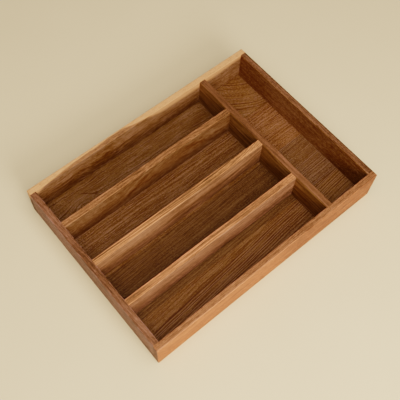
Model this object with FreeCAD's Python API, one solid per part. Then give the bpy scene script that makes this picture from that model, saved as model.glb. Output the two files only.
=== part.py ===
import FreeCAD, Part
import math
import os

# Drawer organizer insert: a shallow open tray of solid wood boards, with one cross divider and
# three long dividers. X runs along the tray, Y across it and Z up. The origin is the middle of
# the tray's bottom, on the surface that it rests on. All sizes are in millimetres.

# Overall size
LENGTH = 430.0
WIDTH = 315.0
HEIGHT = 62.0

# Boards
WALL = 10.0
DIVIDER = 11.0
CROSS_DIVIDER_X = 120.0
LONG_COMPARTMENTS = 4

# Floor panel: staves glued edge to edge, held in a groove that runs round the four walls
FLOOR_BOTTOM = 3.0
FLOOR_THICKNESS = 6.0
GROOVE_DEPTH = 5.0
SWELLING_GAP = 0.5
STAVE_SEAMS_Y = (71.0, -10.0, -95.0)
STAVE_NAMES = (
    "floor_stave_back",
    "floor_stave_mid_back",
    "floor_stave_mid_front",
    "floor_stave_front",
)

# Rounding of the sharp edges by sanding, the inner one as a few flats round a quarter circle
OUTER_EASE = 1.2
INNER_EASE = 0.8
INNER_EASE_FLATS = 3

# Hidden dowels: the short end sits in the face of one board, the long end in the other's end grain
DOWEL_RADIUS = 2.5
DOWEL_CHAMFER = 0.6
DOWEL_IN_FACE = 6.0
DOWEL_IN_END = 18.0
DOWEL_HEIGHTS = (22.0, 49.0)
GLUE_GAP = 0.05
GLUE_POCKET = 0.5

# Places worked out from the sizes above
INNER_X = LENGTH / 2 - WALL
INNER_Y = WIDTH / 2 - WALL
FLOOR_TOP = FLOOR_BOTTOM + FLOOR_THICKNESS
CROSS_LEFT = CROSS_DIVIDER_X - DIVIDER / 2
CROSS_RIGHT = CROSS_DIVIDER_X + DIVIDER / 2
COMPARTMENT_WIDTH = (2 * INNER_Y - (LONG_COMPARTMENTS - 1) * DIVIDER) / LONG_COMPARTMENTS
PITCH = COMPARTMENT_WIDTH + DIVIDER
DIVIDER_Y = {
    "back_long_divider": PITCH,
    "middle_long_divider": 0.0,
    "front_long_divider": -PITCH,
}


def block(x, y, z):
    """A box between two X, two Y and two Z values, each given as a pair."""
    corner = FreeCAD.Vector(x[0], y[0], z[0])
    return Part.makeBox(x[1] - x[0], y[1] - y[0], z[1] - z[0], corner)


def cut_all(solid, cutters):
    """The solid with every cutter taken away, as one clean solid."""
    for cutter in cutters:
        solid = solid.cut(cutter)
    return solid.removeSplitter().Solids[0]


def outer_envelope():
    """The whole tray as one block with its twelve outer edges rounded."""
    whole = block((-LENGTH / 2, LENGTH / 2), (-WIDTH / 2, WIDTH / 2), (0, HEIGHT))
    return whole.makeFillet(OUTER_EASE, whole.Edges)


def compartments():
    """The X and Y spans of the five compartments, the cross compartment last."""
    spans = []
    for row in range(LONG_COMPARTMENTS):
        low = -INNER_Y + row * PITCH
        spans.append(((-INNER_X, CROSS_LEFT), (low, low + COMPARTMENT_WIDTH)))
    spans.append(((CROSS_RIGHT, INNER_X), (-INNER_Y, INNER_Y)))
    return spans


def rim_profile(span):
    """A rim's section across one span: its two sides flare out round a quarter circle of flats."""
    low_side = []
    high_side = []
    for step in range(INNER_EASE_FLATS + 1):
        angle = math.radians(90 * step / INNER_EASE_FLATS)
        flare = INNER_EASE * (1 - math.cos(angle))
        z = HEIGHT - INNER_EASE * (1 - math.sin(angle))
        low_side.append((span[0] - flare, z))
        high_side.append((span[1] + flare, z))
    return low_side + high_side[::-1] + low_side[:1]


def rim_easing(x, y):
    """What sanding takes off the rim of one compartment: its outline, flared towards the top."""
    start_x = x[0] - INNER_EASE
    start_y = y[0] - INNER_EASE
    across = Part.makePolygon([FreeCAD.Vector(place, start_y, z) for place, z in rim_profile(x)])
    along = Part.makePolygon([FreeCAD.Vector(start_x, place, z) for place, z in rim_profile(y)])
    flared_in_x = Part.Face(across).extrude(FreeCAD.Vector(0, y[1] + INNER_EASE - start_y, 0))
    flared_in_y = Part.Face(along).extrude(FreeCAD.Vector(x[1] + INNER_EASE - start_x, 0, 0))
    return flared_in_x.common(flared_in_y)


def floor_housing():
    """The space of the floor panel and its swelling gap, which cuts the groove in each wall."""
    x = INNER_X + GROOVE_DEPTH
    y = INNER_Y + GROOVE_DEPTH
    return block((-x, x), (-y, y), (FLOOR_BOTTOM, FLOOR_TOP))


def dowel(joint, into_face):
    """A plain dowel with chamfered ends, through a joint's point, its short end along into_face."""
    length = DOWEL_IN_FACE + DOWEL_IN_END
    rod = Part.makeCylinder(DOWEL_RADIUS, length, joint - into_face * DOWEL_IN_END, into_face)
    rims = [edge for edge in rod.Edges if edge.Curve.TypeId == "Part::GeomCircle"]
    return rod.makeChamfer(DOWEL_CHAMFER, rims)


def dowel_hole(joint, into_face):
    """The blind hole of a dowel in both boards, a little longer and wider than the dowel."""
    length = DOWEL_IN_FACE + DOWEL_IN_END + 2 * GLUE_POCKET
    start = joint - into_face * (DOWEL_IN_END + GLUE_POCKET)
    return Part.makeCylinder(DOWEL_RADIUS + GLUE_GAP, length, start, into_face)


def dowel_joints():
    """Each dowel group's joints, as pairs of a point on the joint and the way into the face."""
    groups = {
        "corner_dowels": [],
        "cross_divider_dowels": [],
        "long_divider_left_dowels": [],
        "long_divider_right_dowels": [],
    }
    for z in DOWEL_HEIGHTS:
        for side in (-1, 1):
            outwards = FreeCAD.Vector(0, side, 0)
            for end in (-1, 1):
                corner = FreeCAD.Vector(end * (INNER_X + WALL / 2), side * INNER_Y, z)
                groups["corner_dowels"].append((corner, outwards))
            cross_end = FreeCAD.Vector(CROSS_DIVIDER_X, side * INNER_Y, z)
            groups["cross_divider_dowels"].append((cross_end, outwards))
        for y in DIVIDER_Y.values():
            left_end = FreeCAD.Vector(-INNER_X, y, z)
            groups["long_divider_left_dowels"].append((left_end, FreeCAD.Vector(-1, 0, 0)))
            right_end = FreeCAD.Vector(CROSS_LEFT, y, z)
            groups["long_divider_right_dowels"].append((right_end, FreeCAD.Vector(1, 0, 0)))
    return groups


def wall_blanks():
    """The four walls before grooving: the long side boards cover the ends of the end boards."""
    whole_x = (-LENGTH / 2, LENGTH / 2)
    inner_y = (-INNER_Y, INNER_Y)
    z = (0, HEIGHT)
    return {
        "front_side_board": block(whole_x, (-WIDTH / 2, -INNER_Y), z),
        "back_side_board": block(whole_x, (INNER_Y, WIDTH / 2), z),
        "left_end_board": block((-LENGTH / 2, -INNER_X), inner_y, z),
        "right_end_board": block((INNER_X, LENGTH / 2), inner_y, z),
    }


def divider_blanks():
    """The dividers, which stand on the floor and finish level with the walls."""
    z = (FLOOR_TOP, HEIGHT)
    blanks = {"cross_divider": block((CROSS_LEFT, CROSS_RIGHT), (-INNER_Y, INNER_Y), z)}
    for name, y in DIVIDER_Y.items():
        blanks[name] = block((-INNER_X, CROSS_LEFT), (y - DIVIDER / 2, y + DIVIDER / 2), z)
    return blanks


def floor_staves():
    """The staves of the floor panel, from the back of the tray to its front."""
    x = INNER_X + GROOVE_DEPTH - SWELLING_GAP
    y = INNER_Y + GROOVE_DEPTH - SWELLING_GAP
    edges = (y,) + STAVE_SEAMS_Y + (-y,)
    staves = {}
    for name, back, front in zip(STAVE_NAMES, edges, edges[1:]):
        staves[name] = block((-x, x), (front, back), (FLOOR_BOTTOM, FLOOR_TOP))
    return staves


def save(name, shape):
    """Write one node of the assembly."""
    shape.exportStep(os.path.join("parts", name + ".step"))


def main():
    os.makedirs("parts", exist_ok=True)
    envelope = outer_envelope()
    rims = [rim_easing(x, y) for x, y in compartments()]
    joints = dowel_joints()
    holes = [dowel_hole(*joint) for group in joints.values() for joint in group]

    for name, blank in wall_blanks().items():
        save(name, cut_all(blank.common(envelope), rims + [floor_housing()] + holes))
    for name, blank in divider_blanks().items():
        save(name, cut_all(blank, rims + holes))
    for name, stave in floor_staves().items():
        save(name, stave)
    for name, group in joints.items():
        save(name, Part.makeCompound([dowel(*joint) for joint in group]))


main()
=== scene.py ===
import math
import bpy
from mathutils import Euler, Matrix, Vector


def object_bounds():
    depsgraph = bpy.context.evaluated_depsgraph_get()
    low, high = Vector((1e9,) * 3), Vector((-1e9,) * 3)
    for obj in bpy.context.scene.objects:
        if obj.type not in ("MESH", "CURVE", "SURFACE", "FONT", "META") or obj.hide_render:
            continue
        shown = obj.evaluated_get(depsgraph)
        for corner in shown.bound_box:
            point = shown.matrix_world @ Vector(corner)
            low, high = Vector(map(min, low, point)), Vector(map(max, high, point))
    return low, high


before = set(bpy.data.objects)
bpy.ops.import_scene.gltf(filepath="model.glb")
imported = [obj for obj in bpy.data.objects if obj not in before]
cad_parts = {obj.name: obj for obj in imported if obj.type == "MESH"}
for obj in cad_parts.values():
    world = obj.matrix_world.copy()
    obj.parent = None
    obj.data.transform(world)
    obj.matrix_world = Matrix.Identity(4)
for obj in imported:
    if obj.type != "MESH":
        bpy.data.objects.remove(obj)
CAD_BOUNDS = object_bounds()

# A drawer organizer insert of solid, oiled wood. Every board keeps its CAD mesh and gets a wood of
# its own, worked out in three dimensions from the place in the tray, so that the figure runs over
# the edges and the end grain shows rings. The patterns of the materials are in millimetres, and all
# other lengths, their relief too, in metres. Colours are linear.

# Camera, worked out from the corners and edges of the tray in the photo
CAMERA_PLACE = (-0.3383, -0.3553, 0.9596)
CAMERA_AIM = (-0.0024, 0.0048, 0.0)
CAMERA_ROLL = math.radians(3.4)
CAMERA_LENS = 60.8
CAMERA_NEAREST = 0.01

# Light: a soft key from the front, low and a little to the left, and a wide one overhead
KEY = {"azimuth": -10.0, "elevation": 32.0, "distance": 1.75, "size": 0.8, "power": 25.0}
OVERHEAD = {"azimuth": -20.0, "elevation": 72.0, "distance": 1.8, "size": 1.8, "power": 34.0}
LIGHT_COLOUR = (1.0, 0.98, 0.955)
SKY_COLOUR = (1.0, 0.985, 0.965)
SKY_STRENGTH = 0.2

# Surface that the tray stands on: pale and matt, with faint clouds and a fine grain
TABLE_REACH = 4.0
TABLE_COLOUR = (0.79, 0.585, 0.34)
TABLE_SHADES = ((0.3, (0.985, 0.985, 0.98)), (0.7, (1.01, 1.01, 1.01)))
TABLE_CLOUD_SIZE = 160.0
TABLE_GRAIN_SIZE = 0.8
TABLE_ROUGHNESS = 0.85
TABLE_RELIEF = 0.00005
TABLE_SPECULAR = 0.2

MM_PER_METRE = 1000.0

# Sizes of the patterns in the wood: with the grain and across it, or across it alone
DRIFT_SIZE = (90.0, 35.0)
RIPPLE_SIZE = (14.0, 9.0)
MOTTLE_SIZE = (45.0, 20.0)
COARSE_SIZE = (60.0, 3.2)
SPECKLE_SIZE = (7.0, 1.9)
FLECK_SIZE = (2.6, 0.9)
PORE_SIZE = (5.0, 0.75)
FIBRE_WIDTH = 0.95
BAND_WIDTH = 9.0
LINE_WIDTH = 1.25

# Growth lines: a slow noise spaces them unevenly, by up to UNEVENNESS periods, and another one breaks
# them up along the grain, where it is below BREAK_RANGE
UNEVENNESS = 3.0
UNEVEN_PER_PERIOD = 0.25
BREAK_LENGTH = 32.0
BREAKS_PER_PERIOD = 0.7
BREAK_RANGE = (0.36, 0.58)

# Share of a streak's length over which it fades at each end
STREAK_FADE = 0.2

# Tones of wood, from dark to pale: share of the ramp and brightness against the board's own colour
TONE_STOPS = ((0.0, 0.3), (0.25, 0.57), (0.5, 1.0), (0.75, 1.45), (1.0, 2.1))
MIDDLE_TONE = 0.5
END_GRAIN_TONE = -0.12
EDGE_TONE = 0.07
# Painted shade: a board's tone falls below this height and rises above it, over this reach, in
# millimetres, for the shade deep in the compartments
PAINTED_SHADE_MIDDLE = 34.0
PAINTED_SHADE_REACH = 28.0

# Kinds of face, by how far the surface points along an axis: where each kind starts and is complete
END_GRAIN = (0.6, 0.9)
SANDED_EDGE = (0.995, 0.95)
LEVEL_FACE = (0.8, 0.98)

# Share of the coarse pattern, the speckle and the pores that shows, on upright and on top faces
COARSE_SHARES = (1.0, 0.5)
SPECKLE_SHARES = (1.0, 0.0)
PORE_SHARES = (0.5, 1.0)

# The floor beyond the cross divider, where a tint is partly the staves' own colour and partly painted
# light: from where along the tray, and above which part of its thickness
BEYOND_DIVIDER = (110.0, 130.0)
FLOOR_FACE = (4.0, 8.0)

# Sapwood: where its soft edge starts and ends on upright and on level faces, its darkest and palest
# shade, and how far before it the other wood turns paler, and by how much
SAP_START = (-3.0, -1.5)
SAP_END = (7.0, 1.0)
SAP_SHADES = ((0.3, (0.8, 0.72, 0.61)), (0.7, (1.12, 1.15, 1.2)))
SAP_APPROACH = 14.0
SAP_APPROACH_TONE = 0.2

# Share of the rings' ripple that the sapwood's edge and the edge streaks follow
SAP_RIPPLE = 0.3
EDGE_STREAK_RIPPLE = 0.2

# Pores, thickest in the pale early wood, and the feel of the surface
PORE_COLOUR = (0.3, 0.2, 0.12)
PORE_RANGE = (0.58, 0.68)
PORE_STRENGTH = 0.7
EARLY_WOOD = (0.4, 0.62)
LATE_WOOD_SHARE = 0.25
ROUGHNESS = 0.45
ROUGH_FIBRES = 0.16
ROUGH_PORES = 0.15
RAISED_FIBRES = 0.5
RAISED_LINES = 0.35
SUNK_PORES = -0.9
WOOD_RELIEF = 0.00018
WOOD_SPECULAR = 0.1


def rgba(colour):
    return tuple(colour) + (1.0,)


def tinted(colour, factors):
    return tuple(part * factor for part, factor in zip(colour, factors))


def shades(colour, stops):
    """The stops of a ramp, each a share of it and factors for the colour."""
    return [(position, rgba(tinted(colour, factors))) for position, factors in stops]


def tones(colour, powers):
    """The stops of a wood's colour ramp: red and blue change by a power of what green does."""
    dark_red, pale_red, dark_blue, pale_blue = powers
    stops = []
    for position, green in TONE_STOPS:
        red = green ** (dark_red if green < 1 else pale_red)
        blue = green ** (dark_blue if green < 1 else pale_blue)
        stops.append((position, (red, green, blue)))
    return shades(colour, stops)


class Shader:
    """One node material. Each method adds a node and returns its output, to use as an input."""

    def __init__(self, name):
        self.material = bpy.data.materials.new(name)
        self.material.use_nodes = True
        self.nodes = self.material.node_tree.nodes
        self.links = self.material.node_tree.links
        self.nodes.clear()

    def feed(self, socket, value):
        if isinstance(value, bpy.types.NodeSocket):
            self.links.new(value, socket)
        else:
            socket.default_value = value

    def math(self, operation, *values):
        node = self.nodes.new("ShaderNodeMath")
        node.operation = operation
        for socket, value in zip(node.inputs, values):
            self.feed(socket, value)
        return node.outputs[0]

    def add(self, *values):
        total = values[0]
        for value in values[1:]:
            total = self.math("ADD", total, value)
        return total

    def scaled(self, value, factor):
        return self.math("MULTIPLY", value, factor)

    def swing(self, noise, amount):
        """Noise about zero, times an amount."""
        return self.scaled(self.add(noise, -0.5), amount)

    def between(self, share, first, second):
        """From the first number to the second as the share goes from 0 to 1."""
        return self.add(self.scaled(share, second - first), first)

    def place(self):
        """X, Y and Z in the tray's frame, in millimetres."""
        coordinates = self.nodes.new("ShaderNodeTexCoord").outputs["Object"]
        split = self.nodes.new("ShaderNodeSeparateXYZ")
        self.links.new(coordinates, split.inputs[0])
        return [self.scaled(axis, MM_PER_METRE) for axis in split.outputs]

    def vector(self, x, y, z):
        node = self.nodes.new("ShaderNodeCombineXYZ")
        for socket, value in zip(node.inputs, (x, y, z)):
            self.feed(socket, value)
        return node.outputs[0]

    def noise(self, place, detail, roughness=0.5):
        node = self.nodes.new("ShaderNodeTexNoise")
        self.links.new(place, node.inputs["Vector"])
        node.inputs["Scale"].default_value = 1.0
        node.inputs["Detail"].default_value = detail
        node.inputs["Roughness"].default_value = roughness
        return node.outputs[0]

    def cloud(self, along, across, size, detail, seed=0.0):
        """Noise over two axes only, with spots of a length and a width."""
        length, width = size
        place = self.vector(self.scaled(along, 1 / length), self.scaled(across, 1 / width), seed)
        return self.noise(place, detail)

    def noise_along(self, value, detail):
        """Noise of one number."""
        node = self.nodes.new("ShaderNodeTexNoise")
        node.noise_dimensions = "1D"
        self.links.new(value, node.inputs["W"])
        node.inputs["Scale"].default_value = 1.0
        node.inputs["Detail"].default_value = detail
        return node.outputs[0]

    def random(self, value):
        """A fixed random share for each whole number."""
        node = self.nodes.new("ShaderNodeTexWhiteNoise")
        node.noise_dimensions = "1D"
        self.links.new(value, node.inputs["W"])
        return node.outputs[0]

    def step(self, value, low, high, start=0.0, end=1.0):
        """A smooth step from start, where value is low, to end, where it is high."""
        node = self.nodes.new("ShaderNodeMapRange")
        node.interpolation_type = "SMOOTHSTEP"
        for socket, number in zip(node.inputs, (value, low, high, start, end)):
            self.feed(socket, number)
        return node.outputs[0]

    def mix(self, factor, first, second, blend="MIX"):
        node = self.nodes.new("ShaderNodeMix")
        node.data_type = "RGBA"
        node.blend_type = blend
        # The node has sockets for each of its data types; these three are those for colours
        for number, value in ((0, factor), (6, first), (7, second)):
            self.feed(node.inputs[number], value)
        return node.outputs[2]

    def ramp(self, value, stops):
        node = self.nodes.new("ShaderNodeValToRGB")
        self.links.new(value, node.inputs[0])
        elements = node.color_ramp.elements
        while len(elements) < len(stops):
            elements.new(0.5)
        for element, (position, colour) in zip(elements, stops):
            element.position = position
            element.color = colour
        return node.outputs[0]

    def curve(self, value, points):
        """A smooth curve through a few points, each a pair of value and result."""
        low_in, high_in = points[0][0], points[-1][0]
        results = [result for _, result in points]
        low_out, high_out = min(results), max(results)
        node = self.nodes.new("ShaderNodeFloatCurve")
        line = node.mapping.curves[0]
        while len(line.points) < len(points):
            line.points.new(0.5, 0.5)
        for point, (number, result) in zip(line.points, points):
            right = (number - low_in) / (high_in - low_in)
            up = (result - low_out) / (high_out - low_out)
            point.location = (right, up)
        node.mapping.update()
        share = self.nodes.new("ShaderNodeMapRange")
        for socket, number in zip(share.inputs, (value, low_in, high_in, 0.0, 1.0)):
            self.feed(socket, number)
        self.links.new(share.outputs[0], node.inputs["Value"])
        return self.between(node.outputs[0], low_out, high_out)

    def finish(self, colour, roughness, height, depth, specular):
        """The surface itself; height is in shares of depth, which is in metres."""
        surface = self.nodes.new("ShaderNodeBsdfPrincipled")
        bump = self.nodes.new("ShaderNodeBump")
        output = self.nodes.new("ShaderNodeOutputMaterial")
        bump.inputs["Strength"].default_value = 1.0
        bump.inputs["Distance"].default_value = depth
        surface.inputs["Specular IOR Level"].default_value = specular
        self.feed(bump.inputs["Height"], height)
        self.feed(surface.inputs["Base Color"], colour)
        self.feed(surface.inputs["Roughness"], roughness)
        self.links.new(bump.outputs[0], surface.inputs["Normal"])
        self.links.new(surface.outputs[0], output.inputs["Surface"])
        return self.material


class Wood(Shader):
    """The wood of one board, after its recipe.

    along runs with the grain, across over the board's broad face and through its thickness.
    rings is the distance across the growth rings, and every line of the figure follows it.
    Shares of the surface: end is end grain, edge the sanded edges, up the level faces, and top
    all that takes the top's colours, which is up and the broad face that the photo doesn't show.
    """

    def __init__(self, name, recipe):
        super().__init__(name)
        self.recipe = recipe
        x, y, self.z = self.place()
        self.along, other = (x, y) if recipe["grain"] == "x" else (y, x)
        self.across, self.through = (other, self.z) if recipe["lies"] else (self.z, other)
        self.sort_faces()
        self.bend_rings()
        line_place = self.add(self.scaled(self.rings, 1 / LINE_WIDTH), recipe["seed"] * 3)
        self.lines = self.noise_along(line_place, detail=2.0)
        fibre_size = (recipe["fibre_length"], FIBRE_WIDTH)
        self.fibres = self.grain_noise(fibre_size, detail=2.0, roughness=0.55)
        self.sap_depth = self.depth_in_sapwood() if "sapwood" in recipe else None

    def sort_faces(self):
        normal = self.nodes.new("ShaderNodeNewGeometry").outputs["True Normal"]
        split = self.nodes.new("ShaderNodeSeparateXYZ")
        self.links.new(normal, split.inputs[0])
        nx, ny, nz = [self.math("ABSOLUTE", part) for part in split.outputs]
        flat = self.math("MAXIMUM", self.math("MAXIMUM", nx, ny), nz)
        self.end = self.step(nx if self.recipe["grain"] == "x" else ny, *END_GRAIN)
        self.edge = self.step(flat, *SANDED_EDGE)
        self.up = self.step(nz, *LEVEL_FACE)
        self.top = self.up
        if "hidden" in self.recipe:
            hidden = self.step(self.through, *self.recipe["hidden"])
            self.top = self.math("MAXIMUM", self.up, hidden)

    def bend_rings(self):
        recipe = self.recipe
        seed = recipe["seed"]
        drift = self.cloud(self.along, self.across, DRIFT_SIZE, detail=1.0, seed=seed)
        ripple = self.cloud(self.along, self.across, RIPPLE_SIZE, detail=2.0, seed=seed + 7.0)
        self.ripple = self.swing(ripple, recipe["ripple"])
        self.rings = self.add(
            self.across,
            self.add(self.through, -recipe["core"]),
            self.scaled(self.along, -recipe["slope"]),
            self.swing(drift, recipe["drift"]),
            self.ripple,
        )
        for shape in recipe["arches"]:
            self.rings = self.add(self.rings, self.hill(shape))

    def grain_noise(self, size, detail, roughness=0.5):
        """Noise that follows the rings, with spots of a length and a width."""
        length, width = size
        place = self.vector(
            self.scaled(self.along, 1 / length),
            self.scaled(self.rings, 1 / width),
            self.scaled(self.through, 1 / width),
        )
        return self.noise(place, detail, roughness)

    def hill(self, shape):
        """A smooth hill over the broad face."""
        height, middle_along, reach_along, middle_across, reach_across = shape
        u = self.scaled(self.add(self.along, -middle_along), 1.0 / reach_along)
        v = self.scaled(self.add(self.across, -middle_across), 1.0 / reach_across)
        squares = self.add(self.math("MULTIPLY", u, u), self.math("MULTIPLY", v, v))
        return self.scaled(self.math("EXPONENT", self.scaled(squares, -1.0)), height)

    def streak(self, level, shape):
        """A long thin streak of tone, which fades at both ends."""
        strength, middle, slope, half_width, start, end = shape
        centre = self.add(self.scaled(self.along, slope), middle)
        beside = self.math("ABSOLUTE", self.math("SUBTRACT", level, centre))
        fade = (end - start) * STREAK_FADE
        begins = self.step(self.along, start, start + fade)
        ends = self.step(self.along, end - fade, end, 1.0, 0.0)
        length = self.math("MULTIPLY", begins, ends)
        return self.math("MULTIPLY", self.step(beside, half_width, 0.0, 0.0, strength), length)

    def growth_lines(self):
        """Thin dark lines between the growth rings, each with a strength of its own."""
        period, seed = self.recipe["period"], self.recipe["seed"]
        spread = self.noise_along(self.scaled(self.rings, UNEVEN_PER_PERIOD / period), detail=1.0)
        number = self.add(self.scaled(self.rings, 1 / period), self.scaled(spread, UNEVENNESS), seed)
        off_line = self.math("PINGPONG", number, 0.5)
        thin = self.step(off_line, self.recipe["line_width"] / period, 0.0)
        own = self.random(self.math("ROUND", number))
        break_size = (BREAK_LENGTH, period / BREAKS_PER_PERIOD)
        breaks = self.cloud(self.along, self.rings, break_size, detail=1.0, seed=seed)
        present = self.step(breaks, *BREAK_RANGE)
        return self.math("MULTIPLY", self.math("MULTIPLY", thin, own), present)

    def depth_in_sapwood(self):
        """How far the place lies behind the sapwood's wavy edge, or less than 0 before it."""
        depth = self.add(
            self.through, self.z, -self.recipe["sap_edge"], self.scaled(self.ripple, SAP_RIPPLE)
        )
        return self.math("SUBTRACT", depth, self.curve(self.along, self.recipe["sapwood"]))

    def tone(self):
        """0 in the darkest wood and 1 in the palest."""
        recipe = self.recipe
        band_place = self.add(self.scaled(self.rings, 1 / BAND_WIDTH), recipe["seed"])
        bands = self.noise_along(band_place, detail=1.0)
        flecks = self.grain_noise(FLECK_SIZE, detail=2.0, roughness=0.6)
        coarse = self.grain_noise(COARSE_SIZE, detail=1.0)
        speckle = self.grain_noise(SPECKLE_SIZE, detail=1.0)
        mottle_seed = recipe["seed"] + 3.0
        mottle = self.cloud(self.along, self.across, MOTTLE_SIZE, detail=2.0, seed=mottle_seed)
        fine = self.add(
            self.swing(self.lines, recipe["lines"]),
            self.swing(self.fibres, recipe["fibres"]),
            self.swing(flecks, recipe["flecks"]),
        )
        coarse_share = self.between(self.top, *COARSE_SHARES)
        speckle_share = self.between(self.top, *SPECKLE_SHARES)
        tone = self.add(
            self.swing(bands, recipe["bands"]),
            self.math("MULTIPLY", fine, self.between(self.up, recipe["face"], 1.0)),
            self.math("MULTIPLY", self.swing(coarse, recipe["coarse"]), coarse_share),
            self.math("MULTIPLY", self.swing(speckle, recipe["speckle"]), speckle_share),
            self.swing(mottle, recipe["mottle"]),
            self.scaled(self.growth_lines(), -recipe["growth"]),
            # painted shade: darker towards the bottom of the board, lighter towards its rim
            self.scaled(self.add(self.z, -PAINTED_SHADE_MIDDLE), recipe["lift"] / PAINTED_SHADE_REACH),
            self.scaled(self.end, END_GRAIN_TONE),
            self.scaled(self.edge, EDGE_TONE),
            MIDDLE_TONE,
        )
        if recipe["profile"]:
            tone = self.add(tone, self.curve(self.rings, recipe["profile"]))
        for shape in recipe["patches"]:
            tone = self.add(tone, self.hill(shape))
        edge_level = self.add(self.through, self.scaled(self.ripple, EDGE_STREAK_RIPPLE))
        levels = {"streaks": self.rings, "marks": self.across, "edge_streaks": edge_level}
        for kind, level in levels.items():
            for shape in recipe[kind]:
                tone = self.add(tone, self.streak(level, shape))
        if self.sap_depth is not None:
            approach = self.step(self.sap_depth, -SAP_APPROACH, 0.0, 0.0, SAP_APPROACH_TONE)
            tone = self.add(tone, approach)
        return tone

    def colour(self):
        """The colour of the wood before its pores."""
        recipe = self.recipe
        tone = self.tone()
        upright = self.ramp(tone, tones(recipe["colour"], recipe["powers"]))
        top_colour = tinted(recipe["colour"], recipe["top"])
        top = self.ramp(tone, tones(top_colour, recipe["top_powers"]))
        colour = self.mix(self.top, upright, top)
        colour = self.mix(self.end, colour, rgba(recipe["end_tint"]), blend="MULTIPLY")
        # the floor beyond the cross divider: a tint that is partly the staves' own colour and partly
        # painted light for the open compartment
        if "far_tint_and_light" in recipe:
            beyond_divider = self.step(self.along, *BEYOND_DIVIDER)
            far_tint_and_light_share = self.math("MULTIPLY", beyond_divider, self.step(self.through, *FLOOR_FACE))
            colour = self.mix(far_tint_and_light_share, colour, rgba(recipe["far_tint_and_light"]), blend="MULTIPLY")
        if self.sap_depth is not None:
            start = self.between(self.up, *SAP_START)
            end = self.between(self.up, *SAP_END)
            share = self.step(self.sap_depth, start, end)
            sap_tone = self.add(self.scaled(self.lines, 0.5), self.scaled(self.fibres, 0.5))
            sapwood = self.ramp(sap_tone, shades(recipe["sap_colour"], SAP_SHADES))
            colour = self.mix(share, colour, sapwood)
        return colour

    def pores(self):
        """Short dark dashes along the grain."""
        pattern = self.grain_noise(PORE_SIZE, detail=2.0, roughness=0.55)
        dashes = self.step(pattern, *PORE_RANGE)
        early = self.step(self.lines, *EARLY_WOOD, LATE_WOOD_SHARE, 1.0)
        shown = self.between(self.up, *PORE_SHARES)
        return self.math("MULTIPLY", self.math("MULTIPLY", dashes, early), shown)

    def finished(self):
        """The whole material."""
        pores = self.pores()
        pore_colour = rgba(tinted(self.recipe["colour"], PORE_COLOUR))
        colour = self.mix(self.scaled(pores, PORE_STRENGTH), self.colour(), pore_colour)
        roughness = self.add(
            self.scaled(self.fibres, ROUGH_FIBRES), self.scaled(pores, ROUGH_PORES), ROUGHNESS
        )
        height = self.add(
            self.scaled(self.fibres, RAISED_FIBRES),
            self.scaled(self.lines, RAISED_LINES),
            self.scaled(pores, SUNK_PORES),
        )
        return self.finish(colour, roughness, height, WOOD_RELIEF, WOOD_SPECULAR)


def table_paper():
    """The matt surface under the tray."""
    shader = Shader("table_paper")
    x, y, _ = shader.place()
    clouds = shader.cloud(x, y, (TABLE_CLOUD_SIZE, TABLE_CLOUD_SIZE), detail=3.0)
    grain = shader.cloud(x, y, (TABLE_GRAIN_SIZE, TABLE_GRAIN_SIZE), detail=2.0)
    colour = shader.ramp(clouds, shades(TABLE_COLOUR, TABLE_SHADES))
    return shader.finish(colour, TABLE_ROUGHNESS, grain, TABLE_RELIEF, TABLE_SPECULAR)


# A wood recipe, with lengths in millimetres and tones from 0, the darkest, to 1, the palest
#   grain          the axis that the grain runs along
#   lies           whether the board lies flat
#   colour         the colour of the middle tone on upright faces
#   top            factors that turn it into the colour of the top face
#   powers         how red and blue change with tone: dark red, pale red, dark blue, pale blue
#   top_powers     the same on the top face
#   end_tint       factors for the colour on end grain
#   far_tint_and_light  factors for the colour of the floor beyond the cross divider: partly the
#   staves' own colour, partly painted light for the open compartment
#   hidden         the stretch of the thickness in which the board's hidden face begins
#   seed           where the board's patterns are taken from
#   core           the place in the thickness from which the rings are counted
#   slope          how much the rings climb for each millimetre along
#   drift, ripple  how far slow and quick waves bend the rings
#   arches         hills in the rings: height, middle along, reach along, middle and reach across
#   profile        tone added across the rings, as pairs of distance and tone
#   period         how far apart the growth lines are, with line_width and their strength, growth
#   bands, lines, fibres, flecks, coarse, speckle, mottle   how strong each pattern is
#   fibre_length   how long the fibres are
#   face           the share of the lines, fibres and flecks that shows on upright faces
#   lift           painted shade: tone gained from half way up an upright board to its rim, and lost below it
#   patches        hills of tone over the broad face, with the same five numbers as an arch
#   streaks        tone along the rings: strength, level where along is 0, slope, half width,
#                  start and end along the grain
#   marks          the same over the broad face
#   edge_streaks   the same over the thickness
#   sap_colour     the colour of the sapwood
#   sap_edge       y + z on the board's inner top edge
#   sapwood        the sapwood's edge: pairs of place along the board and distance past sap_edge

# The colours and the top factors of the boards are rounded from mean colours in the photo.

# What the boards have in common; each recipe below changes what is its own
PLAIN = {
    "grain": "x",
    "lies": False,
    "top": (1.0, 1.0, 1.0),
    "powers": (0.6, 0.85, 3.0, 2.2),
    "top_powers": (1.0, 1.05, 1.6, 1.5),
    "end_tint": (0.88, 0.95, 1.1),
    "seed": 0.0,
    "core": 0.0,
    "slope": 0.0,
    "drift": 8.0,
    "ripple": 1.2,
    "arches": (),
    "profile": (),
    "period": 5.0,
    "line_width": 0.75,
    "growth": 0.45,
    "bands": 0.4,
    "lines": 1.8,
    "fibres": 1.6,
    "fibre_length": 30.0,
    "flecks": 1.6,
    "coarse": 0.6,
    "speckle": 1.2,
    "face": 0.85,
    "mottle": 0.35,
    "lift": 0.0,
    "patches": (),
    "streaks": (),
    "marks": (),
    "edge_streaks": (),
}

# What the staves of the floor have in common beyond that
STAVE = {
    "lies": True,
    "top_powers": (0.6, 0.74, 4.6, 3.2),
    "core": 9.0,
}

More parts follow.
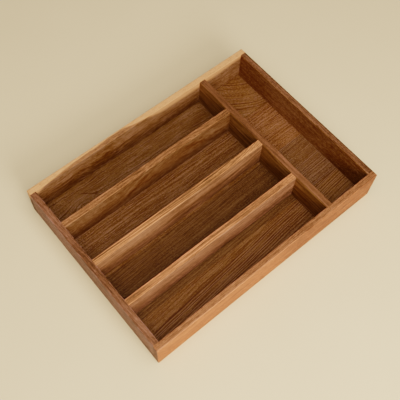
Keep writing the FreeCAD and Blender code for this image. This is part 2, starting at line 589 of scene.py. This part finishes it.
BOARDS = {
    "front_side_board": {
        "colour": (0.3, 0.09, 0.033),
        "top": (0.8, 0.95, 0.9),
        "powers": (1.0, 1.0, 1.2, 1.2),
        "top_powers": (0.95, 0.95, 1.6, 1.5),
        "end_tint": (0.76, 1.08, 1.5),
        "hidden": (-149.5, -148.0),
        "seed": 11.0,
        "core": -152.5,
        "growth": 0.15,
        "bands": 0.2,
        "lines": 1.0,
        "fibres": 1.3,
        "fibre_length": 16.0,
        "flecks": 1.8,
        "coarse": 0.8,
        "speckle": 0.8,
        "patches": (
            (-0.05, 100.0, 70.0, 45.0, 25.0),
            (0.05, -170.0, 90.0, 50.0, 60.0),
            (0.07, -95.0, 50.0, 56.0, 12.0),
            (0.06, 130.0, 50.0, 50.0, 40.0),
        ),
        "edge_streaks": ((0.45, -156.8, 0.0, 1.3, -330.0, 70.0),),
    },
    "back_side_board": {
        "colour": (0.15, 0.059, 0.007),
        "top": (1.12, 1.14, 3.4),
        "powers": (0.55, 0.8, 4.0, 3.0),
        "top_powers": (0.95, 1.0, 1.6, 1.2),
        "hidden": (155.5, 157.0),
        "seed": 23.0,
        "core": 152.5,
        "ripple": 5.5,
        "arches": ((14.0, -75.0, 60.0, 5.0, 32.0), (-5.0, -135.0, 22.0, 38.0, 14.0)),
        "growth": 0.4,
        "bands": 0.3,
        "lines": 1.9,
        "fibres": 1.9,
        "fibre_length": 16.0,
        "flecks": 2.8,
        "coarse": 1.6,
        "speckle": 1.4,
        "lift": 0.08,
        "patches": (
            (0.3, -145.0, 90.0, 58.0, 13.0),
            (-0.06, -165.0, 45.0, 26.0, 14.0),
            (-0.2, -85.0, 36.0, 22.0, 16.0),
            (0.16, -20.0, 36.0, 50.0, 20.0),
            (0.12, 60.0, 90.0, 42.0, 12.0),
            (-0.16, 80.0, 60.0, 16.0, 12.0),
            (0.22, 170.0, 35.0, 36.0, 30.0),
        ),
        "sap_colour": (0.7, 0.31, 0.135),
        "sap_edge": 209.5,
        "sapwood": (
            (-215, -13.5),
            (-200, -9),
            (-181, 0),
            (-160, 3.0),
            (-140, 4.8),
            (-120, 6.0),
            (-90, 6.5),
            (-60, 8.1),
            (-45, 8.3),
            (-35, 7.2),
            (-20, 3.6),
            (0, 0.4),
            (20, -8.2),
            (40, -11.6),
            (80, -13),
            (140, -12),
            (180, -10),
            (215, -7.5),
        ),
    },
    "left_end_board": {
        "grain": "y",
        "colour": (0.22, 0.1, 0.057),
        "top": (0.65, 0.53, 0.3),
        "powers": (0.85, 0.85, 1.6, 1.5),
        "top_powers": (0.85, 0.9, 1.9, 1.8),
        "seed": 31.0,
        "core": -210.0,
        "slope": -0.05,
        "growth": 0.2,
        "bands": 0.25,
        "lines": 1.7,
        "fibres": 1.8,
        "fibre_length": 14.0,
        "flecks": 2.2,
        "coarse": 1.2,
        "patches": (
            (0.16, 95.0, 45.0, 62.0, 30.0),
            (-0.1, 10.0, 40.0, 62.0, 20.0),
            (0.36, -115.0, 40.0, 34.0, 40.0),
        ),
        "edge_streaks": (
            (-0.25, -214.0, 0.0, 3.0, -147.0, -70.0),
            (-0.1, -210.0, 0.04, 2.0, -60.0, 30.0),
            (0.18, -205.5, 0.0, 2.0, -95.0, -10.0),
        ),
    },
    "right_end_board": {
        "grain": "y",
        "colour": (0.185, 0.064, 0.0055),
        "top": (0.75, 0.83, 2.9),
        "powers": (0.5, 0.7, 4.0, 3.0),
        "top_powers": (0.85, 0.95, 2.0, 1.8),
        "hidden": (212.5, 214.0),
        "seed": 43.0,
        "core": 210.0,
        "drift": 4.0,
        "bands": 0.2,
        "lines": 1.4,
        "fibres": 1.7,
        "fibre_length": 20.0,
        "flecks": 3.2,
        "coarse": 1.2,
        "speckle": 1.5,
        "face": 0.9,
        "lift": 0.06,
        "patches": ((-0.28, -147.0, 60.0, 10.0, 45.0), (0.12, 50.0, 35.0, 45.0, 40.0)),
        "edge_streaks": (
            (-0.4, 214.4, 0.0, 2.4, -400.0, 400.0),
            (-0.25, 205.6, 0.0, 1.5, 60.0, 200.0),
            (-0.25, 205.8, 0.0, 1.6, -125.0, -60.0),
        ),
    },
    "cross_divider": {
        "grain": "y",
        "colour": (0.17, 0.064, 0.006),
        "top": (0.75, 0.72, 2.1),
        "powers": (0.55, 0.8, 3.0, 2.4),
        "top_powers": (0.9, 0.95, 1.9, 1.8),
        "seed": 57.0,
        "core": 120.0,
        "growth": 0.25,
        "bands": 0.3,
        "lines": 0.5,
        "fibres": 0.8,
        "fibre_length": 14.0,
        "flecks": 1.2,
        "coarse": 2.0,
        "speckle": 0.6,
        "face": 0.9,
        "lift": 0.12,
        "patches": (
            (-0.1, 38.0, 35.0, 62.0, 14.0),
            (0.08, -80.0, 70.0, 62.0, 10.0),
            (0.16, 50.0, 35.0, 45.0, 10.0),
        ),
    },
    "back_long_divider": {
        "colour": (0.145, 0.055, 0.01),
        "top": (1.28, 1.27, 2.0),
        "powers": (0.5, 0.75, 4.4, 2.2),
        "top_powers": (0.95, 1.0, 1.7, 1.6),
        "seed": 61.0,
        "core": 76.5,
        "arches": ((-30.0, 5.0, 65.0, 0.0, 60.0),),
        "growth": 0.3,
        "lines": 1.1,
        "fibres": 1.4,
        "fibre_length": 18.0,
        "flecks": 2.1,
        "coarse": 1.0,
        "speckle": 1.5,
        "lift": 0.06,
        "patches": (
            (0.32, -175.0, 50.0, 52.0, 18.0),
            (0.12, -95.0, 30.0, 55.0, 14.0),
            (0.17, -32.0, 32.0, 56.0, 11.0),
            (0.1, 35.0, 30.0, 58.0, 8.0),
            (0.12, 75.0, 35.0, 52.0, 12.0),
            (-0.15, -165.0, 60.0, 18.0, 10.0),
            (-0.1, -40.0, 30.0, 40.0, 16.0),
        ),
        "marks": (
            (0.16, 36.0, 0.08, 4.0, -150.0, -70.0),
            (0.4, 91.0, 0.57, 4.6, -112.0, -42.0),
            (-0.3, 79.0, 0.57, 6.0, -105.0, -28.0),
            (0.12, 88.0, -0.55, 8.0, 35.0, 125.0),
            (-0.2, 68.0, -0.6, 7.0, 5.0, 90.0),
            (-0.2, 50.0, 0.0, 2.0, -40.0, 40.0),
            (-0.2, 38.0, 0.0, 1.6, -230.0, -120.0),
            (-0.2, 30.0, 0.0, 1.6, -230.0, -110.0),
        ),
        "edge_streaks": (
            (0.3, 67.5, -0.1, 1.6, -165.0, -50.0),
            (-0.35, 70.4, -0.1, 1.5, -135.0, -25.0),
            (-0.15, 77.0, 0.0, 2.4, -30.0, 55.0),
        ),
    },
    "middle_long_divider": {
        "colour": (0.235, 0.095, 0.033),
        "top": (1.25, 1.18, 1.18),
        "powers": (0.8, 0.92, 2.0, 1.5),
        "top_powers": (1.1, 1.15, 1.4, 1.3),
        "seed": 71.0,
        "core": -5.5,
        "drift": 2.4,
        "ripple": 1.0,
        "arches": ((-20.0, 145.0, 60.0, 42.0, 45.0),),
        "profile": (
            (5, -0.26),
            (19, -0.12),
            (26, -0.06),
            (31, -0.26),
            (34.5, -0.2),
            (37.5, 0.06),
            (50, 0.1),
            (60, 0.02),
            (66, -0.04),
            (80, -0.04),
        ),
        "growth": 0.1,
        "bands": 0.2,
        "lines": 2.3,
        "fibres": 2.0,
        "fibre_length": 45.0,
        "flecks": 1.3,
        "coarse": 1.2,
        "speckle": 1.1,
        "lift": 0.03,
        "patches": (
            (0.34, -125.0, 60.0, 54.0, 15.0),
            (0.14, -100.0, 45.0, 25.0, 12.0),
            (-0.22, -30.0, 38.0, 50.0, 14.0),
            (-0.3, -12.0, 38.0, 24.0, 16.0),
            (0.12, 60.0, 45.0, 22.0, 12.0),
            (0.1, 75.0, 50.0, 54.0, 14.0),
        ),
        "edge_streaks": (
            (-0.55, -2.0, -0.025, 0.85, -240.0, 50.0),
            (0.5, -3.3, -0.025, 0.9, -240.0, -30.0),
            (-0.45, -4.5, -0.025, 0.7, -240.0, -60.0),
            (0.45, -5.4, -0.012, 0.9, -240.0, 25.0),
            (-0.25, 1.6, -0.01, 0.8, -240.0, 30.0),
            (0.25, -4.0, 0.0, 1.4, 70.0, 130.0),
        ),
    },
    "front_long_divider": {
        "colour": (0.285, 0.116, 0.048),
        "top": (1.2, 1.05, 0.94),
        "powers": (0.85, 0.95, 1.7, 1.4),
        "top_powers": (1.1, 1.15, 1.35, 1.3),
        "seed": 83.0,
        "core": -82.0,
        "drift": 3.0,
        "ripple": 1.0,
        # darker towards the bottom and lighter in the upper part: partly the wood's figure, partly
        # painted shade
        "profile": (
            (5, -0.2),
            (25, -0.08),
            (36, -0.02),
            (42, 0.05),
            (58, 0.05),
            (64, -0.04),
            (80, -0.04),
        ),
        "growth": 0.15,
        "bands": 0.2,
        "lines": 2.3,
        "fibres": 2.1,
        "fibre_length": 45.0,
        "flecks": 1.3,
        "coarse": 1.1,
        "speckle": 1.1,
        "patches": (
            # lighter upper part at the left end: partly the wood's figure, partly painted light
            (0.18, -105.0, 50.0, 54.0, 14.0),
            (-0.1, -185.0, 35.0, 24.0, 14.0),
            (-0.12, 75.0, 50.0, 24.0, 15.0),
        ),
        "edge_streaks": (
            (0.4, -78.6, -0.008, 1.0, -140.0, -10.0),
            (-0.3, -78.0, -0.02, 1.3, -20.0, 75.0),
            (0.2, -77.0, 0.0, 4.0, 85.0, 130.0),
            (0.25, -81.0, 0.0, 1.4, -215.0, -150.0),
            (-0.3, -76.2, -0.012, 0.8, -215.0, 20.0),
        ),
    },
    "floor_stave_back": {
        **STAVE,
        "colour": (0.136, 0.056, 0.0067),
        "far_tint_and_light": (1.1, 1.08, 1.26),
        "seed": 91.0,
        "drift": 9.0,
        "ripple": 4.5,
        "arches": (
            (60.0, 215.0, 60.0, 150.0, 110.0),
            (-12.0, -150.0, 24.0, 114.0, 15.0),
            (-11.0, 42.0, 27.0, 99.0, 13.0),
        ),
        "period": 9.0,
        "line_width": 1.1,
        "growth": 0.5,
        "lines": 1.3,
        "fibres": 1.4,
        "fibre_length": 24.0,
        "flecks": 2.6,
        "patches": (
            (-0.4, -124.5, 2.2, 114.5, 1.8),
            (-0.1, 190.0, 40.0, 135.0, 25.0),
            (-0.18, -112.0, 18.0, 141.0, 9.0),
            (-0.14, -60.0, 22.0, 139.0, 7.0),
            (0.13, 48.0, 26.0, 118.0, 8.0),
            (0.12, 42.0, 22.0, 100.0, 6.0),
            (0.12, -158.0, 22.0, 118.0, 9.0),
            (0.1, -85.0, 50.0, 112.0, 14.0),
            (0.1, -30.0, 30.0, 112.0, 18.0),
            (-0.12, 98.0, 20.0, 122.0, 10.0),
            (0.14, 88.0, 22.0, 138.0, 7.0),
            (0.05, 185.0, 40.0, 90.0, 20.0),
        ),
        "streaks": (
            (-0.6, 180.0, 0.0, 2.2, 120.0, 240.0),
            (-0.35, 168.0, 0.0, 1.2, 120.0, 240.0),
            (-0.65, 125.5, 0.0, 2.0, 110.0, 240.0),
            (-0.35, 117.5, 0.0, 1.2, 110.0, 240.0),
            (-0.75, 110.0, 0.0, 2.2, 110.0, 240.0),
        ),
        "marks": ((-0.8, 21.0, -0.75, 1.6, -146.0, -120.0), (-0.5, 73.0, 0.0, 1.2, 140.0, 230.0)),
    },
    "floor_stave_mid_back": {
        **STAVE,
        "colour": (0.148, 0.059, 0.0065),
        "far_tint_and_light": (0.955, 0.865, 0.84),
        "seed": 103.0,
        "ripple": 3.4,
        "growth": 0.6,
        "lines": 2.1,
        "fibres": 1.7,
        "fibre_length": 24.0,
        "flecks": 3.2,
        "patches": (
            (0.14, 190.0, 60.0, 10.0, 60.0),
            (-0.07, 85.0, 40.0, 25.0, 40.0),
            # painted shadow of the back long divider on the floor along its foot
            (-0.14, -60.0, 48.0, 68.0, 6.0),
        ),
        "streaks": (
            (-0.3, 61.0, 0.0, 1.4, -215.0, -110.0),
            (0.22, 59.0, 0.0, 1.1, -215.0, -110.0),
            (-0.35, 31.5, 0.16, 1.0, -25.0, 75.0),
            (-0.25, 29.0, 0.16, 0.9, -25.0, 75.0),
        ),
    },
    "floor_stave_mid_front": {
        **STAVE,
        "colour": (0.093, 0.035, 0.0022),
        "far_tint_and_light": (1.23, 1.3, 2.25),
        "seed": 113.0,
        "slope": 0.035,
        "drift": 4.0,
        "ripple": 1.6,
        "growth": 0.55,
        "lines": 3.0,
        "fibre_length": 26.0,
        "flecks": 4.0,
        "mottle": 0.2,
        "patches": (
            (-0.03, 190.0, 50.0, -28.0, 22.0),
            (0.16, 190.0, 50.0, -75.0, 22.0),
            (0.2, -60.0, 180.0, -91.0, 9.0),
            (0.1, -15.0, 50.0, -30.0, 40.0),
            (0.09, -85.0, 30.0, -28.0, 20.0),
            (-0.06, -190.0, 30.0, -30.0, 40.0),
        ),
        "streaks": ((0.6, -39.0, 0.0, 1.2, -110.0, 125.0), (-0.4, -36.6, 0.0, 1.0, -90.0, -20.0)),
        "marks": ((-0.45, -94.3, 0.0, 0.9, 110.0, 240.0),),
    },
    "floor_stave_front": {
        **STAVE,
        "colour": (0.143, 0.056, 0.005),
        "seed": 127.0,
        "slope": 0.083,
        "drift": 4.0,
        "growth": 0.7,
        "lines": 3.2,
        "fibres": 1.7,
        "flecks": 3.0,
        "patches": ((0.03, 190.0, 60.0, -120.0, 60.0), (-0.05, 80.0, 40.0, -120.0, 60.0)),
        "streaks": (
            (-0.7, -105.8, 0.0, 1.25, -240.0, 10.0),
            (-0.6, -110.5, 0.0, 1.0, 0.0, 220.0),
            (-0.4, -88.5, 0.0, 1.1, -140.0, -70.0),
            (-0.45, -124.0, 0.0, 1.1, -70.0, 150.0),
            (-0.3, -119.0, 0.0, 0.7, -150.0, 40.0),
            (0.16, -99.0, 0.0, 3.0, -160.0, 60.0),
        ),
    },
}

# The hidden dowels, all of one plain pale wood
DOWELS = {
    "colour": (0.62, 0.42, 0.22),
    "bands": 0.2,
    "lines": 0.2,
}


def dress(name, material):
    """Puts a material in every material slot of a CAD node."""
    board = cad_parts[name]
    if not board.material_slots:
        board.data.materials.append(material)
    for slot in board.material_slots:
        slot.material = material


def dress_tray():
    """Each board gets its own wood, and the hidden dowels a plain pale one."""
    for name, own in BOARDS.items():
        dress(name, Wood(name + "_wood", {**PLAIN, **own}).finished())
    dowel_wood = Wood("dowel_wood", {**PLAIN, **DOWELS}).finished()
    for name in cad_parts:
        if name.endswith("_dowels"):
            dress(name, dowel_wood)


def lay_table():
    """The surface under the tray, which is not part of the object."""
    lowest = CAD_BOUNDS[0][2]
    sides = ((-1, -1), (1, -1), (1, 1), (-1, 1))
    corners = [(x * TABLE_REACH, y * TABLE_REACH, lowest) for x, y in sides]
    mesh = bpy.data.meshes.new("table")
    mesh.from_pydata(corners, [], [(0, 1, 2, 3)])
    mesh.materials.append(table_paper())
    table = bpy.data.objects.new("table", mesh)
    bpy.context.scene.collection.objects.link(table)


def add_light(name, azimuth, elevation, distance, size, power):
    """A round soft light that faces the tray; azimuth 0 is in front of it and 90 to its right."""
    turn = math.radians(azimuth)
    lift = math.radians(elevation)
    right = math.sin(turn) * math.cos(lift)
    back = -math.cos(turn) * math.cos(lift)
    outwards = Vector((right, back, math.sin(lift)))
    data = bpy.data.lights.new(name, "AREA")
    data.shape = "DISK"
    data.size = size
    data.energy = power
    data.color = LIGHT_COLOUR
    light = bpy.data.objects.new(name, data)
    light.location = outwards * distance
    light.rotation_euler = outwards.to_track_quat("Z", "Y").to_euler()
    bpy.context.scene.collection.objects.link(light)


def light_scene():
    add_light("key", **KEY)
    add_light("overhead", **OVERHEAD)
    world = bpy.data.worlds.new("sky")
    world.use_nodes = True
    sky = world.node_tree.nodes["Background"]
    sky.inputs["Color"].default_value = rgba(SKY_COLOUR)
    sky.inputs["Strength"].default_value = SKY_STRENGTH
    bpy.context.scene.world = world
    bpy.context.scene.view_settings.view_transform = "Filmic"
    bpy.context.scene.view_settings.look = "Medium High Contrast"


def add_camera():
    data = bpy.data.cameras.new("camera")
    data.lens = CAMERA_LENS
    data.clip_start = CAMERA_NEAREST
    camera = bpy.data.objects.new("camera", data)
    gaze = Vector(CAMERA_AIM) - Vector(CAMERA_PLACE)
    level = gaze.to_track_quat("-Z", "Y").to_matrix()
    roll = Euler((0.0, 0.0, CAMERA_ROLL)).to_matrix()
    camera.location = CAMERA_PLACE
    camera.rotation_euler = (level @ roll).to_euler()
    bpy.context.scene.collection.objects.link(camera)
    bpy.context.scene.camera = camera


dress_tray()
lay_table()
light_scene()
add_camera()
